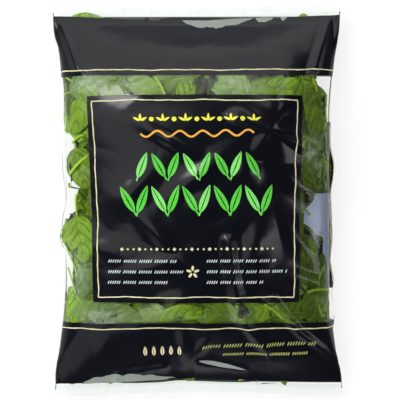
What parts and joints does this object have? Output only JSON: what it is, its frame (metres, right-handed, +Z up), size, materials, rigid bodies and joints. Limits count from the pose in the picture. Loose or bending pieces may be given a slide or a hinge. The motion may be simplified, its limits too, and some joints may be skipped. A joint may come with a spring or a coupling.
{
  "type": "bag of spinach",
  "caption": "Filled pillow bag of fresh leaves in clear printed film, sealed flat across both ends, lying on its back.",
  "frame": {"origin": "on the surface that the bag rests on, under the middle of the bag", "axes": "+Z up out of the printed front, +Y along the bag towards its top end, +X to the right of the print"},
  "size_m": [0.254, 0.345, 0.0597],
  "materials": {
    "film": "glossy clear film with dark print over green leaves",
    "leaf": "satin green leaf"
  },
  "bodies": {
    "root": {"filled_bag": "film"}
  },
  "joints": []
}
